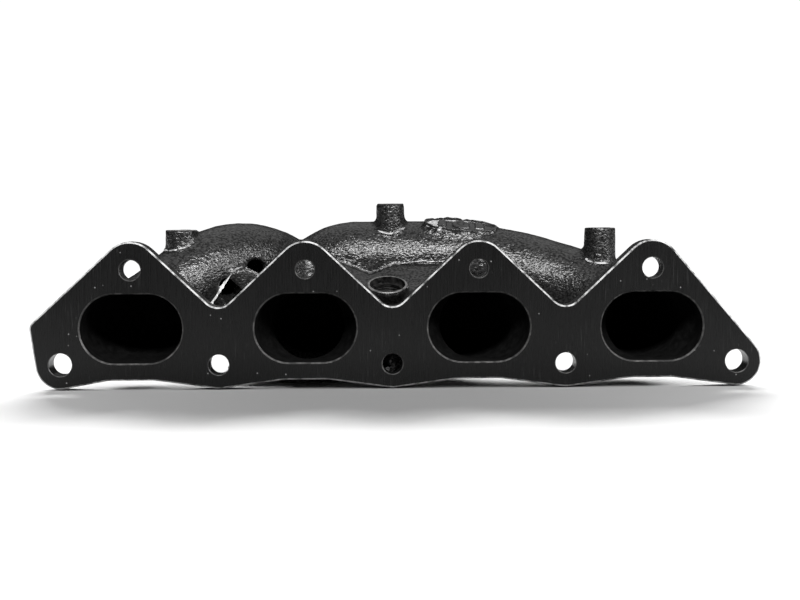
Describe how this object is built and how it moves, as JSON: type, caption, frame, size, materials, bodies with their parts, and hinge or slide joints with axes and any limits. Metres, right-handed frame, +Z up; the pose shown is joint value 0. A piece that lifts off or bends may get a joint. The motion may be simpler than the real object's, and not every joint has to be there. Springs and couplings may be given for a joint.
{
  "type": "exhaust manifold",
  "caption": "Cast-iron exhaust manifold with slot-shaped ports, a peaked head flange, curved runners and a divided turbocharger flange.",
  "frame": {"origin": "on the head flange's sealing face, midway between the two middle ports, on the ports' centre line", "axes": "X along the row of ports, -Y out of the head flange's sealing face towards the cylinder head, +Z up, away from the turbocharger flange's face"},
  "size_m": [0.3918, 0.135, 0.1],
  "materials": {
    "cast_iron_coated": "rough sand-cast skin under a satin black high-temperature coating",
    "machined_face_coated": "milled flat face under a satin black high-temperature coating, lightly scuffed"
  },
  "bodies": {
    "root": {"head_flange": "machined_face_coated", "port_1": "cast_iron_coated", "port_2": "cast_iron_coated", "port_3": "cast_iron_coated", "port_4": "cast_iron_coated", "runner_1": "cast_iron_coated", "runner_2": "cast_iron_coated", "runner_3": "cast_iron_coated", "runner_4": "cast_iron_coated", "lower_collector": "cast_iron_coated", "upper_collector": "cast_iron_coated", "turbo_flange": "machined_face_coated", "heat_shield_boss_left": "cast_iron_coated", "heat_shield_boss_centre": "cast_iron_coated", "heat_shield_boss_right": "cast_iron_coated", "oxygen_sensor_boss": "cast_iron_coated", "badge_pad": "cast_iron_coated", "runner_shoulder": "cast_iron_coated", "runner_link": "cast_iron_coated", "turbo_rib_right": "cast_iron_coated", "turbo_rib_rear": "cast_iron_coated", "turbo_rib_left": "cast_iron_coated"}
  },
  "joints": []
}
